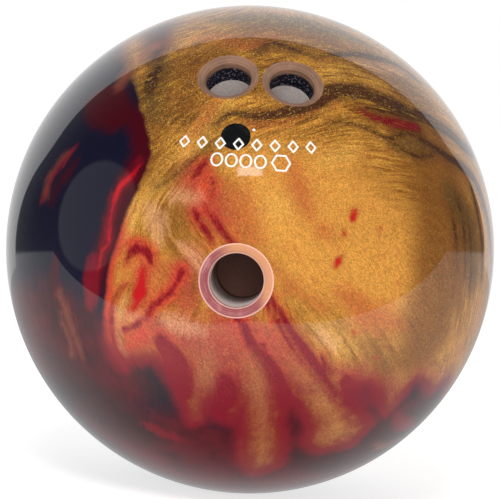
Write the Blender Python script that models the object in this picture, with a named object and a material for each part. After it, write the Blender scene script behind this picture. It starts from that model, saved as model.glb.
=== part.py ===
"""Drilled bowling ball: a poured resin cover over a white filler core, a turned weight block,
its locator pin, and paint-filled engraved marks. Metres, +Z up, origin at the ball's centre.
-Y points at the middle of the grip, where the thumb hole is, and X = 0 is the grip's mid-plane."""
import math

import bmesh
import bpy
from mathutils import Matrix, Vector

# Driving dimensions, in metres and degrees
BALL_RADIUS = 0.1085
COVER_THICKNESS = 0.0115
GAP = 0.0003

THUMB_RADIUS = 0.0112
THUMB_DEPTH = 0.062
THUMB_PITCH = 0.00635          # the thumb axis passes this far below the ball's centre
THUMB_RIM_RADIUS = 0.0155
THUMB_BEVEL_DEPTH = 0.0026

FINGER_RADIUS = 0.009525
FINGER_DEPTH = 0.050
FINGER_ELEVATION = 45.3        # above the thumb axis
FINGER_SPREAD = 7.28           # each side of the mid-plane
FINGER_RIM_RADIUS = 0.0130
FINGER_BEVEL_DEPTH = 0.0021

PIN_AZIMUTH = -4.2
PIN_ELEVATION = 28.7
PIN_RADIUS = 0.0062

BLOCK_TOP = 0.050              # from the ball's centre, along the pin's axis
BLOCK_NECK_RADIUS = 0.013
BLOCK_BULB_RADIUS = 0.045
BLOCK_BULB_CENTRE = -0.012
BLOCK_FOOT = -0.054

MARK_STROKE = 0.0009
MARK_CLEARANCE = 0.0001
GROOVE_DEPTH = 0.0008
PAINT_RECESS = 0.0003          # the paint's flat top lies this far under the round surface
CG_MARK_RADIUS = 0.0007
CG_AZIMUTH = 0.1
CG_ELEVATION = 30.8

UPPER_MARKS = 8
UPPER_STEP = 4.48              # azimuth from one mark to the next
UPPER_MIDDLE = (-0.95, 27.05)  # azimuth and elevation of the row's middle
UPPER_SLOPE = 0.055            # elevation gained for each degree of azimuth
UPPER_SIZE = (0.0050, 0.0065)

LOWER_MARKS = 4
LOWER_STEP = 3.45
LOWER_MIDDLE = (-2.6, 23.05)
LOWER_SLOPE = 0.045
LOWER_SIZE = (0.0055, 0.0066)
END_MARK_AZIMUTH = 7.5
END_MARK_SIZE = (0.0086, 0.0086)

SPHERE_SEGMENTS = 48
SPHERE_RINGS = 24
TURN_SEGMENTS = 24


def clear_scene():
    """Empty the scene."""
    for item in list(bpy.data.objects):
        bpy.data.objects.remove(item, do_unlink=True)


def make_material(name, colour, roughness, metallic=0.0):
    """A Principled material with one colour."""
    material = bpy.data.materials.new(name)
    material.use_nodes = True
    shader = material.node_tree.nodes["Principled BSDF"]
    shader.inputs["Base Color"].default_value = (*colour, 1.0)
    shader.inputs["Roughness"].default_value = roughness
    shader.inputs["Metallic"].default_value = metallic
    return material


def outward(azimuth, elevation):
    """Unit vector from the centre: azimuth turns from -Y towards +X, elevation lifts towards +Z."""
    turn = math.radians(azimuth)
    lift = math.radians(elevation)
    return Vector((math.sin(turn) * math.cos(lift), -math.cos(turn) * math.cos(lift), math.sin(lift)))


def axis_frame(axis, right=Vector((1.0, 0.0, 0.0)), origin=Vector((0.0, 0.0, 0.0))):
    """Matrix that stands local +Z along axis, with local +X as near to right as it can be."""
    up = axis.normalized()
    across = (right - up * right.dot(up)).normalized()
    along = up.cross(across)
    matrix = Matrix((across, along, up)).transposed().to_4x4()
    matrix.translation = origin
    return matrix


def finish_object(name, work, material, smooth=True):
    """Turn a bmesh into a named object."""
    bmesh.ops.recalc_face_normals(work, faces=work.faces)
    mesh = bpy.data.meshes.new(name)
    work.to_mesh(mesh)
    work.free()
    if smooth:
        mesh.shade_smooth()
        mesh.set_sharp_from_angle(angle=math.radians(35))
    item = bpy.data.objects.new(name, mesh)
    if material is None:
        item.hide_render = True
        item.display_type = 'WIRE'
    else:
        mesh.materials.append(material)
    bpy.context.scene.collection.objects.link(item)
    return item


def make_ball(name, radius, material=None):
    """A sphere round the origin. Every sphere has the same facets, so nested ones keep their gap."""
    work = bmesh.new()
    bmesh.ops.create_uvsphere(work, u_segments=SPHERE_SEGMENTS, v_segments=SPHERE_RINGS, radius=radius)
    return finish_object(name, work, material)


def make_turned(name, profile, placing, material=None):
    """A solid of revolution round local +Z. The profile is (radius, height), from axis to axis."""
    work = bmesh.new()
    points = [work.verts.new((radius, 0.0, height)) for radius, height in profile]
    edges = [work.edges.new(pair) for pair in zip(points, points[1:])]
    bmesh.ops.spin(work, geom=points + edges, axis=(0, 0, 1), cent=(0, 0, 0),
                   steps=TURN_SEGMENTS, angle=math.tau, use_merge=True)
    bmesh.ops.remove_doubles(work, verts=work.verts, dist=1e-6)
    work.transform(placing)
    return finish_object(name, work, material)


def mark_outline(size, sides, start):
    """The corners of a closed mark, and how far its middle is from its sides."""
    half_width = size[0] / 2
    half_height = size[1] / 2
    corners = []
    for index in range(sides):
        angle = start + math.tau * index / sides
        corners.append(Vector((half_width * math.cos(angle), half_height * math.sin(angle), 0.0)))
    edge = corners[1] - corners[0]
    reach = abs(corners[0].x * edge.y - corners[0].y * edge.x) / edge.length
    return corners, reach


def make_band(name, mark, grow, bottom, top, placing, material=None):
    """A mark's outline as a prism: a closed band with the stroke's width, grown by grow all round."""
    corners, reach = mark_outline(*mark)
    outer_scale = (reach + grow) / reach
    inner_scale = (reach - MARK_STROKE - grow) / reach
    work = bmesh.new()
    rings = []
    for scale in (outer_scale, inner_scale):
        ring = [work.verts.new((corner.x * scale, corner.y * scale, bottom)) for corner in corners]
        rings.append(ring)
    count = len(corners)
    for index in range(count):
        follower = (index + 1) % count
        work.faces.new((rings[0][index], rings[0][follower], rings[1][follower], rings[1][index]))
    raised = bmesh.ops.extrude_face_region(work, geom=list(work.faces), use_keep_orig=True)
    lifted = [part for part in raised["geom"] if isinstance(part, bmesh.types.BMVert)]
    bmesh.ops.translate(work, verts=lifted, vec=(0.0, 0.0, top - bottom))
    work.transform(placing)
    return finish_object(name, work, material, smooth=False)


def drill_profile(radius, floor, rim_radius, bevel_depth, offset=0.0):
    """A drilled hole with a rounded bevel, from its floor to outside the ball, about its own axis."""
    rim_height = math.sqrt(BALL_RADIUS ** 2 - rim_radius ** 2 - offset ** 2)
    width = rim_radius - radius
    bend = (radius + 0.3 * width, rim_height - 0.5 * bevel_depth)
    return [(0.0, floor), (radius, floor), (radius, rim_height - bevel_depth), bend,
            (rim_radius, rim_height), (rim_radius + width, rim_height + bevel_depth),
            (0.0, rim_height + bevel_depth)]


def block_profile(grow):
    """The weight block's bulb, shoulder and neck, grown by grow on every side."""
    bulb = BLOCK_BULB_RADIUS + grow
    foot = BLOCK_FOOT - grow
    points = [(0.0, foot)]
    low = math.asin((foot - BLOCK_BULB_CENTRE) / bulb)
    high = math.radians(48)
    steps = 9
    for index in range(steps + 1):
        angle = low + (high - low) * index / steps
        points.append((bulb * math.cos(angle), BLOCK_BULB_CENTRE + bulb * math.sin(angle)))
    shoulder_radius, shoulder_height = points[-1]
    neck = BLOCK_NECK_RADIUS + grow
    neck_height = BLOCK_TOP - 0.013
    for part in (0.35, 0.7, 1.0):
        ease = 1 - (1 - part) ** 2
        points.append((shoulder_radius + (neck - shoulder_radius) * ease,
                       shoulder_height + (neck_height - shoulder_height) * part))
    points.append((neck, BLOCK_TOP + grow - 0.003))
    points.append((neck - 0.003, BLOCK_TOP + grow))
    points.append((0.0, BLOCK_TOP + grow))
    return points


def pin_profile():
    """The locator pin, from the block's top to a domed end flush with the ball."""
    points = [(0.0, BLOCK_TOP + GAP), (PIN_RADIUS, BLOCK_TOP + GAP)]
    dome = BALL_RADIUS - GAP
    for part in (1.0, 0.66, 0.33, 0.0):
        radius = PIN_RADIUS * part
        points.append((radius, math.sqrt(dome ** 2 - radius ** 2)))
    return points


def cut(target, *cutters):
    """Take each cutter out of the target."""
    for cutter in cutters:
        modifier = target.modifiers.new(cutter.name, 'BOOLEAN')
        modifier.operation = 'DIFFERENCE'
        modifier.solver = 'EXACT'
        modifier.object = cutter


def row_places(count, step, middle, slope):
    """Azimuth and elevation of each mark in a row."""
    places = []
    for index in range(count):
        shift = (index - (count - 1) / 2) * step
        places.append((middle[0] + shift, middle[1] + slope * shift))
    return places


def mark_list():
    """Every engraved outline: its name, its shape and its place on the ball."""
    marks = []
    upper = row_places(UPPER_MARKS, UPPER_STEP, UPPER_MIDDLE, UPPER_SLOPE)
    for number, place in enumerate(upper, start=1):
        marks.append((f"upper_mark_{number}", (UPPER_SIZE, 4, 0.0), place))
    lower = row_places(LOWER_MARKS, LOWER_STEP, LOWER_MIDDLE, LOWER_SLOPE)
    for number, place in enumerate(lower, start=1):
        marks.append((f"lower_mark_{number}", (LOWER_SIZE, 16, 0.0), place))
    end_elevation = LOWER_MIDDLE[1] + LOWER_SLOPE * (END_MARK_AZIMUTH - LOWER_MIDDLE[0])
    marks.append(("end_mark", (END_MARK_SIZE, 6, 0.0), (END_MARK_AZIMUTH, end_elevation)))
    return marks


def row_direction(place, slope):
    """The way a row of marks runs at a place, as a vector along the ball's surface."""
    ahead = outward(place[0] + 1.0, place[1] + slope)
    return ahead - outward(*place)


def make_drills():
    """The three drill cutters: thumb, left finger and right finger."""
    thumb_axis = Vector((0.0, -1.0, 0.0))
    thumb_frame = axis_frame(thumb_axis, origin=Vector((0.0, 0.0, -THUMB_PITCH)))
    thumb = make_turned("drill_thumb",
                        drill_profile(THUMB_RADIUS, BALL_RADIUS - THUMB_DEPTH, THUMB_RIM_RADIUS,
                                      THUMB_BEVEL_DEPTH, THUMB_PITCH), thumb_frame)
    drills = [thumb]
    lift = math.radians(FINGER_ELEVATION)
    spread = math.radians(FINGER_SPREAD)
    for name, side in (("drill_left_finger", -1), ("drill_right_finger", 1)):
        axis = Vector((side * math.sin(spread), -math.cos(spread) * math.cos(lift),
                       math.cos(spread) * math.sin(lift)))
        profile = drill_profile(FINGER_RADIUS, BALL_RADIUS - FINGER_DEPTH, FINGER_RIM_RADIUS,
                                FINGER_BEVEL_DEPTH)
        drills.append(make_turned(name, profile, axis_frame(axis)))
    return drills


def build():
    """Make every piece."""
    clear_scene()
    cover_finish = make_material("pearl_cover", (0.55, 0.27, 0.06), 0.12, 0.3)
    filler_finish = make_material("white_filler", (0.85, 0.81, 0.80), 0.5)
    block_finish = make_material("weight_block", (0.16, 0.09, 0.07), 0.6)
    pin_finish = make_material("black_pin", (0.012, 0.013, 0.015), 0.2)
    paint_finish = make_material("white_paint", (0.93, 0.92, 0.88), 0.45)

    inside_radius = BALL_RADIUS - COVER_THICKNESS
    pin_frame = axis_frame(outward(PIN_AZIMUTH, PIN_ELEVATION))
    drills = make_drills()

    cover = make_ball("coverstock", BALL_RADIUS, cover_finish)
    filler = make_ball("outer_core", inside_radius - GAP, filler_finish)
    make_turned("weight_block", block_profile(0.0), pin_frame, block_finish)
    pin = make_turned("locator_pin", pin_profile(), pin_frame, pin_finish)

    hollow = make_ball("cutter_inside", inside_radius)
    cavity = make_turned("cutter_block", block_profile(GAP), pin_frame)
    bore_radius = PIN_RADIUS + GAP
    bore = make_turned("cutter_pin_bore",
                       [(0.0, BLOCK_TOP - GAP), (bore_radius, BLOCK_TOP - GAP),
                        (bore_radius, BALL_RADIUS + GAP), (0.0, BALL_RADIUS + GAP)], pin_frame)
    cut(cover, hollow, *drills, bore)
    cut(filler, cavity, bore, *drills)

    groove_floor = BALL_RADIUS - GROOVE_DEPTH
    paint_top = BALL_RADIUS - PAINT_RECESS
    pin_axis = outward(PIN_AZIMUTH, PIN_ELEVATION)
    for name, shape, place in mark_list():
        axis = outward(*place)
        slope = UPPER_SLOPE if name.startswith("upper") else LOWER_SLOPE
        placing = axis_frame(axis, row_direction(place, slope))
        make_band(name, shape, 0.0, groove_floor + MARK_CLEARANCE, paint_top, placing, paint_finish)
        groove = make_band("groove_" + name, shape, MARK_CLEARANCE, groove_floor,
                           BALL_RADIUS + GAP, placing)
        distance = axis.angle(pin_axis) * BALL_RADIUS
        reach = max(shape[0]) / 2
        if distance < bore_radius + reach:
            cut(pin, groove)
        if distance + reach > PIN_RADIUS:
            cut(cover, groove)

    cg_frame = axis_frame(outward(CG_AZIMUTH, CG_ELEVATION))
    cg_floor = groove_floor + MARK_CLEARANCE
    make_turned("cg_mark", [(0.0, cg_floor), (CG_MARK_RADIUS, cg_floor),
                            (CG_MARK_RADIUS, paint_top), (0.0, paint_top)], cg_frame, paint_finish)
    pit_radius = CG_MARK_RADIUS + MARK_CLEARANCE
    pit = make_turned("pit_cg", [(0.0, groove_floor), (pit_radius, groove_floor),
                                 (pit_radius, BALL_RADIUS + GAP), (0.0, BALL_RADIUS + GAP)], cg_frame)
    cut(cover, pit)


build()
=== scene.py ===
import math
import bmesh
import bpy
import numpy as np
from mathutils import Matrix, Vector
from mathutils.geometry import delaunay_2d_cdt


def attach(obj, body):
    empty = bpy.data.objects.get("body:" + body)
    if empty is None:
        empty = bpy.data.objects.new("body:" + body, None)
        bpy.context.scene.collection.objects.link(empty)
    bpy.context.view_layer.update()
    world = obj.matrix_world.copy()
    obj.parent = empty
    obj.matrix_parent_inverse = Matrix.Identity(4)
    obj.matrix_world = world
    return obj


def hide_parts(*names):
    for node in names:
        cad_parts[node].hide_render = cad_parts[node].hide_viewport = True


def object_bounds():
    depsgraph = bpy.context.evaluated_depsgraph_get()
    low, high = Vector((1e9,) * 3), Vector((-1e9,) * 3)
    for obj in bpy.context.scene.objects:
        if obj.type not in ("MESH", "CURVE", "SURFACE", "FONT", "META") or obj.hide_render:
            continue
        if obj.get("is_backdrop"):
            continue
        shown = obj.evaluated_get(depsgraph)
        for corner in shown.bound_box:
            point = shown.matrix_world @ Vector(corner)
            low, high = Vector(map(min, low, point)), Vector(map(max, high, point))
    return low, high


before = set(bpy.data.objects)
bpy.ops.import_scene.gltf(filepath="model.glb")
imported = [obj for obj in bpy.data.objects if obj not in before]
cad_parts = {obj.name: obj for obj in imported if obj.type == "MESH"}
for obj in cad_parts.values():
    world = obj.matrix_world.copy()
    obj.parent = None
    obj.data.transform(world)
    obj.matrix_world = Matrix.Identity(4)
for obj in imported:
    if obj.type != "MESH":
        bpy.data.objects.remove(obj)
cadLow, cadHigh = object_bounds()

# All lengths below are millimetres and all angles degrees; meshes are scaled to metres at the end.
# Places on the ball are (azimuth, elevation): azimuth 0 faces -Y and grows to +X, elevation grows to +Z.

metres = 0.001


def outward(azimuth, elevation):
    # Unit vector: (sin az cos el, -cos az cos el, sin el).
    a, e = np.radians(azimuth), np.radians(elevation)
    return np.stack([np.sin(a) * np.cos(e), -np.cos(a) * np.cos(e), np.sin(e)], axis=-1)


def unit(vectors):
    return vectors / np.linalg.norm(vectors, axis=-1, keepdims=True)


def axisFrame(axis, right=(1.0, 0.0, 0.0)):
    # Rows: a right vector square to the axis, the vector up from it, and the axis.
    axis = unit(np.array(axis, float))
    across = unit(np.array(right, float) - axis * np.dot(right, axis))
    return np.stack([across, np.cross(axis, across), axis])


ball = {
    "radius": 108.5,
    "cover": 11.5,              # thickness of the pearl cover
    "gap": 0.3,                 # between the cast layers
    "frontSpacing": 1.7,
    "backSpacing": 3.2,
    "frontAngle": 98.0,         # half angle of the finely meshed side
    "skinEnd": 175.5,           # where the skin's points stop short of the +Y pole
    "loopMargin": 0.55,         # kept free of points on both sides of a hole's or a mark's border
    "poleCount": 24,            # points of the last ring round the pole
    "poleAngle": 176.5,
    "innerSpacing": 6.0,        # points on the cover's inner face
    "coreSpacing": 4.5,         # points on the filler's outer face
    "innerEnd": 175.0,          # where both of these stop short of the pole
}
thumb = {"radius": 11.2, "floor": 46.5, "rim": 15.5, "bevel": 2.6, "drop": 6.35}
finger = {"radius": 9.525, "floor": 58.5, "rim": 13.0, "bevel": 2.1, "lift": 45.3, "spread": 7.28}
pin = {
    "azimuth": -4.2, "elevation": 28.7, "radius": 6.2, "foot": 50.3,
    "play": 0.04,               # between the pin and its bore
    "steps": (106.0, 80.0),     # heights of the rings between the pin's end and its foot
    "boreStep": 70.0,
}
weight = {
    "topRadius": 10.0, "top": 50.0, "neckRadius": 13.0, "neckTop": 47.0, "neckFoot": 37.0,
    "bulbRadius": 45.0, "bulbCentre": -12.0, "foot": -54.0, "shoulder": 48.0,
}
marks = {
    "stroke": 0.9, "groove": 0.8, "recess": 0.25, "floorGap": 0.05, "step": 0.45,
    "dot": (0.1, 30.8), "dotRadius": 0.7,
}
upperRow = {"name": "upper_mark", "count": 8, "step": 4.48, "middle": (-0.95, 27.05), "slope": 0.055,
            "size": (5.0, 6.5), "sides": 4}
lowerRow = {"name": "lower_mark", "count": 4, "step": 3.45, "middle": (-2.6, 23.05), "slope": 0.045,
            "size": (5.5, 6.6), "sides": 16}
endMark = {"azimuth": 7.5, "size": (8.6, 8.6), "sides": 6}

fingerLift, fingerSpread = math.radians(finger["lift"]), math.radians(finger["spread"])
holes = [{"name": "thumb", "start": np.array([0.0, 0.0, -thumb["drop"]]),
          "frame": axisFrame((0.0, -1.0, 0.0)), **thumb}]
for side in (-1, 1):
    aim = (side * math.sin(fingerSpread), -math.cos(fingerSpread) * math.cos(fingerLift),
           math.cos(fingerSpread) * math.sin(fingerLift))
    holes.append({"name": "finger", "start": np.zeros(3), "frame": axisFrame(aim), **finger})
pinFrame = axisFrame(outward(pin["azimuth"], pin["elevation"]))
pinHole = {"name": "pin", "start": np.zeros(3), "frame": pinFrame, "radius": pin["radius"]}
bores = holes + [pinHole]


def axisParts(points, hole):
    # Distance from the hole's axis, and height along it from its starting point.
    local = (points - hole["start"]) @ hole["frame"].T
    return np.hypot(local[:, 0], local[:, 1]), local[:, 2]


def levelRing(hole, reach, turns):
    # Points at a distance from the axis, level with its starting point.
    across = np.outer(np.cos(turns) * reach, hole["frame"][0]) \
        + np.outer(np.sin(turns) * reach, hole["frame"][1])
    return hole["start"] + across


def ringOnSphere(hole, reach, sphere, turns):
    # Points at a distance from the axis and from the ball's centre: the height solves the square.
    flat = levelRing(hole, reach, turns)
    along = flat @ hole["frame"][2]
    height = -along + np.sqrt(along ** 2 - (flat ** 2).sum(1) + sphere ** 2)
    return flat + height[:, None] * hole["frame"][2]


def markCorners(size, sides):
    # Corners of a polygon, moved in by half a stroke so that the stroke's outside has the given size.
    turns = np.arange(sides) * math.tau / sides
    corners = np.stack([size[0] / 2 * np.cos(turns), size[1] / 2 * np.sin(turns)], axis=1)
    edge = corners[1] - corners[0]
    reach = abs(corners[0, 0] * edge[1] - corners[0, 1] * edge[0]) / np.linalg.norm(edge)
    return corners * (reach - marks["stroke"] / 2) / reach


def makeMark(name, place, row, shape):
    # The mark's frame points along its row's slope.
    here = outward(*place)
    ahead = outward(place[0] + 1.0, place[1] + row["slope"]) - here
    return {"name": name, "corners": markCorners(shape["size"], shape["sides"]),
            "frame": axisFrame(here, ahead)}


def onRow(row, shift):
    return row["middle"][0] + shift, row["middle"][1] + row["slope"] * shift


def makeMarks():
    made = []
    for row in (upperRow, lowerRow):
        for index in range(row["count"]):
            place = onRow(row, (index - (row["count"] - 1) / 2) * row["step"])
            made.append(makeMark(f"{row['name']}_{index + 1}", place, row, row))
    place = onRow(lowerRow, endMark["azimuth"] - lowerRow["middle"][0])
    made.append(makeMark("end_mark", place, lowerRow, endMark))
    return made


def onMark(points, mark):
    # Distance from each point to the middle line of the mark's stroke, in the mark's own plane.
    local = points @ mark["frame"].T
    flat, corners = local[:, :2], mark["corners"]
    best = np.full(len(points), 1e9)
    for first, second in zip(corners, np.roll(corners, -1, axis=0)):
        edge = second - first
        part = np.clip(((flat - first) @ edge) / (edge @ edge), 0, 1)
        best = np.minimum(best, np.linalg.norm(flat - first - part[:, None] * edge, axis=1))
    return np.where(local[:, 2] > 0, best, 1e9)


def markLoops(mark):
    # The stroke's outer border has round corners and its inner border sharp ones, both half a stroke away.
    corners, half = mark["corners"], marks["stroke"] / 2
    count = len(corners)
    edges = np.roll(corners, -1, axis=0) - corners
    normals = unit(np.stack([edges[:, 1], -edges[:, 0]], axis=1))
    outer, inner = [], []
    for index in range(count):
        before, after = normals[index - 1], normals[index]
        bend = unit(before + after)
        arc = 5 if count < 10 else 2
        for part in np.linspace(0, 1, arc):
            outer.append(corners[index] + half * unit(before * (1 - part) + after * part))
        inner.append(corners[index] - bend * half / max(bend @ after, 0.2))
    loops = []
    for loop in (outer, inner):
        points = []
        for first, second in zip(loop, loop[1:] + loop[:1]):
            pieces = max(1, int(round(np.linalg.norm(second - first) / marks["step"])))
            points += [first + (second - first) * k / pieces for k in range(pieces)]
        flat = np.array(points)
        lifted = np.sqrt(ball["radius"] ** 2 - (flat ** 2).sum(1))
        loops.append(np.column_stack([flat, lifted]) @ mark["frame"])
    return loops


def scatter(spacing, low, high):
    # Fibonacci points on a unit sphere whose angle from -Y lies between low and high. Each point takes
    # up a hexagon of about 0.866 spacing squared.
    count = int(4 * math.pi * ball["radius"] ** 2 / (spacing ** 2 * 0.866))
    index = np.arange(count) + 0.5
    depth = 1 - 2 * index / count
    turn = index * math.pi * (3 - math.sqrt(5))
    across = np.sqrt(1 - depth ** 2)
    points = np.stack([across * np.cos(turn), -depth, across * np.sin(turn)], axis=1)
    angle = np.degrees(np.arccos(np.clip(-points[:, 1], -1, 1)))
    return points[(angle >= low) & (angle < high)]


def triangulate(points, loops, radius):
    # Projects from the +Y pole onto a plane, triangulates there with the loops as edges, and projects back.
    # The last ring round the pole is closed by a fan.
    close = unit(np.concatenate(loops))
    keep = np.ones(len(points), bool)
    batch = 4000
    for start in range(0, len(points), batch):
        nearest = (points[start:start + batch] @ close.T).max(axis=1)
        keep[start:start + batch] = np.arccos(np.clip(nearest, -1, 1)) * radius > ball["loopMargin"]
    far, polar = ball["poleCount"], np.radians(ball["poleAngle"])
    turns = np.arange(far) * math.tau / far
    ring = np.stack([np.sin(polar) * np.cos(turns), np.full(far, -np.cos(polar)),
                     np.sin(polar) * np.sin(turns)], axis=1)
    everything, edges = [points[keep], ring], []
    offset = int(keep.sum()) + far
    for loop in loops:
        everything.append(unit(loop))
        order = np.arange(len(loop)) + offset
        edges += [(int(a), int(b)) for a, b in zip(order, np.roll(order, -1))]
        offset += len(loop)
    flat = np.concatenate(everything)
    flat = flat[:, [0, 2]] / (1 - flat[:, 1:2])
    corners, _, faces, _, _, _ = delaunay_2d_cdt([Vector(p) for p in flat.tolist()], edges, [], 0, 1e-9)
    flat = np.array([tuple(c) for c in corners])
    square = (flat ** 2).sum(1)
    made = np.stack([2 * flat[:, 0], square - 1, 2 * flat[:, 1]], 1) / (1 + square)[:, None]
    faces = np.array(faces, int)
    middle = made[faces].mean(axis=1)
    normal = np.cross(made[faces[:, 1]] - made[faces[:, 0]], made[faces[:, 2]] - made[faces[:, 0]])
    turned = (normal * middle).sum(1) < 0
    faces[turned] = faces[turned][:, ::-1]
    pole = len(made)
    made = np.vstack([made, [0.0, 1.0, 0.0]])
    rim = openEdges(faces)
    fan = np.column_stack([rim[:, 1], rim[:, 0], np.full(len(rim), pole)])
    return made, np.vstack([faces, fan])


def halfEdges(faces):
    return np.concatenate([faces[:, [0, 1]], faces[:, [1, 2]], faces[:, [2, 0]]])


def edgeKeys(edges):
    # One number for each directed edge, and the number of the same edge the other way round.
    size = int(edges.max()) + 1
    return edges[:, 0] * size + edges[:, 1], edges[:, 1] * size + edges[:, 0]


def openEdges(faces):
    # Directed edges with no triangle on their other side.
    edges = halfEdges(faces)
    forward, backward = edgeKeys(edges)
    return edges[~np.isin(forward, backward)]


def steppedSkin(points, faces, level):
    # Each triangle stands at its own level above the sphere; walls join neighbours at different levels.
    # Returns the corner positions of the triangles and of the walls, as polygons of 3 and 4 corners, and
    # the ends of the open edges.
    corners = points[faces] * (ball["radius"] + level[:, None, None])
    edges, owner = halfEdges(faces), np.tile(np.arange(len(faces)), 3)
    forward, backward = edgeKeys(edges)
    order = np.argsort(forward)
    found = np.searchsorted(forward[order], backward).clip(0, len(order) - 1)
    other = order[found]
    matched = forward[other] == backward
    steps = matched & (level[owner] > level[owner[other]] + 1e-6)
    a, b = points[edges[steps, 0]], points[edges[steps, 1]]
    high = ball["radius"] + level[owner[steps]][:, None]
    low = ball["radius"] + level[owner[other[steps]]][:, None]
    walls = np.stack([b * high, a * high, a * low, b * low], axis=1)
    rim = points[edges[~matched]] * (ball["radius"] + level[owner[~matched]])[:, None, None]
    return corners, walls, rim


def sweep(rim, rings):
    # Walls from each open edge down through a list of functions, each of which moves the rim's points to
    # the next ring.
    quads, here = [], rim
    for ring in rings:
        below = np.stack([ring(rim[:, 0]), ring(rim[:, 1])], axis=1)
        quads.append(np.stack([here[:, 1], here[:, 0], below[:, 0], below[:, 1]], axis=1))
        here = below
    return quads, here


def meshFrom(name, polygons, shadeAngle=14.0):
    # Joins loose polygons into one closed mesh that faces outward. Corners closer than the merge distance
    # become one.
    mergeDistance = 2e-6
    corners = np.concatenate([p.reshape(-1, 3) for p in polygons]) * metres
    sizes = np.concatenate([np.full(len(p), p.shape[1]) for p in polygons])
    mesh = bpy.data.meshes.new(name)
    mesh.vertices.add(len(corners))
    mesh.vertices.foreach_set("co", corners.astype(np.float32).ravel())
    mesh.loops.add(len(corners))
    mesh.loops.foreach_set("vertex_index", np.arange(len(corners), dtype=np.int32))
    mesh.polygons.add(len(sizes))
    mesh.polygons.foreach_set("loop_start", np.concatenate([[0], np.cumsum(sizes)[:-1]]).astype(np.int32))
    mesh.update(calc_edges=True)
    work = bmesh.new()
    work.from_mesh(mesh)
    bmesh.ops.remove_doubles(work, verts=work.verts, dist=mergeDistance)
    bmesh.ops.recalc_face_normals(work, faces=work.faces)
    loose = [e for e in work.edges if not e.is_manifold]
    work.to_mesh(mesh)
    work.free()
    mesh.shade_smooth()
    mesh.set_sharp_from_angle(angle=math.radians(shadeAngle))
    piece = bpy.data.objects.new(name, mesh)
    bpy.context.scene.collection.objects.link(piece)
    print(f"  {name}: {len(mesh.polygons)} faces, {len(loose)} open edges")
    return piece


def coordinates(mesh):
    flat = np.empty(len(mesh.vertices) * 3, np.float32)
    mesh.vertices.foreach_get("co", flat)
    return flat.reshape(-1, 3).astype(float) / metres


def faceCorners(mesh):
    # The vertex at each face corner, where each face's corners start, and how many it has.
    vertex = np.empty(len(mesh.loops), np.int32)
    mesh.loops.foreach_get("vertex_index", vertex)
    starts = np.empty(len(mesh.polygons), np.int32)
    mesh.polygons.foreach_get("loop_start", starts)
    return vertex, starts, np.diff(np.append(starts, len(vertex)))


def roundNormals(mesh, radius):
    # Corners of faces that lie on the outer sphere take the sphere's own normal; the others keep theirs.
    points = coordinates(mesh)
    vertex, starts, totals = faceCorners(mesh)
    onSphere = np.abs(np.linalg.norm(points, axis=1) - radius) < 0.01
    whole = np.minimum.reduceat(onSphere[vertex].astype(int), starts).astype(bool)
    normals = unit(points)[vertex]
    normals[~np.repeat(whole, totals)] = 0.0
    mesh.normals_split_custom_set(normals.tolist())


def addField(mesh, name, values, domain="POINT"):
    layer = mesh.attributes.new(name, "FLOAT", domain)
    layer.data.foreach_set("value", np.asarray(values, np.float32))


print("triangulating the ball's skin")
engraved = makeMarks()
circle = np.linspace(0, math.tau, 97)[:-1]
loops = [ringOnSphere(hole, hole["rim"], ball["radius"], circle) for hole in holes]
loops.append(ringOnSphere(pinHole, pin["radius"], ball["radius"], circle))
for mark in engraved:
    loops += markLoops(mark)
dot = {"name": "cg_mark", "start": np.zeros(3), "frame": axisFrame(outward(*marks["dot"]))}
loops.append(ringOnSphere(dot, marks["dotRadius"], ball["radius"], circle[::6]))
cloud = np.vstack([scatter(ball["frontSpacing"], 0, ball["frontAngle"]),
                   scatter(ball["backSpacing"], ball["frontAngle"], ball["skinEnd"])])
skinPoints, skinFaces = triangulate(cloud, loops, ball["radius"])
middles = unit(skinPoints[skinFaces].mean(axis=1)) * ball["radius"]

inHole = np.zeros(len(skinFaces), bool)
for hole in holes:
    reach, height = axisParts(middles, hole)
    inHole |= (reach < hole["rim"]) & (height > 0)
reach, height = axisParts(middles, pinHole)
inPin = (reach < pin["radius"]) & (height > 0)
inMark = np.zeros(len(skinFaces), int)
for number, mark in enumerate(engraved, start=1):
    inMark[onMark(middles, mark) < marks["stroke"] / 2] = number
reach, height = axisParts(middles, dot)
inMark[(reach < marks["dotRadius"]) & (height > 0)] = len(engraved) + 1
print(f"  {len(skinFaces)} triangles")


def pickRim(rim, hole, reach):
    distance, height = axisParts(rim.mean(axis=1), hole)
    return rim[(np.abs(distance - reach) < 0.25) & (height > 0)]


def turnsOf(points, hole):
    local = (points - hole["start"]) @ hole["frame"].T
    return np.arctan2(local[:, 1], local[:, 0])


def profileRings(hole, profile):
    # Each step of the profile is a distance from the axis and a height. A bevel's steps also say how much
    # they keep of the rim's rise and fall about its middle height.
    def step(reach, height, share=0.0, middle=0.0):
        def ring(rim):
            lift = axisParts(rim, hole)[1] - middle
            flat = levelRing(hole, reach, turnsOf(rim, hole))
            return flat + (height + share * lift)[:, None] * hole["frame"][2]
        return ring
    return [step(*row) for row in profile]


def bevelProfile(hole):
    # A quadratic curve from the rim to the wall, (1-t)^2 a + 2t(1-t) b + t^2 c, that bends near the wall.
    top = math.sqrt(ball["radius"] ** 2 - hole["rim"] ** 2 - hole.get("drop", 0.0) ** 2)
    low = top - hole["bevel"]
    bend = (hole["radius"] + 0.15 * (hole["rim"] - hole["radius"]), top - 0.3 * hole["bevel"])
    rows = []
    for part in np.linspace(0, 1, 8)[1:]:
        first, second, third = (1 - part) ** 2, 2 * part * (1 - part), part ** 2
        rows.append((first * hole["rim"] + second * bend[0] + third * hole["radius"],
                     first * top + second * bend[1] + third * low, 1 - part, top))
    return rows, low


def toSphere(hole, reach, sphere):
    def ring(rim):
        return ringOnSphere(hole, reach, sphere, turnsOf(rim, hole))
    return ring


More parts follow.
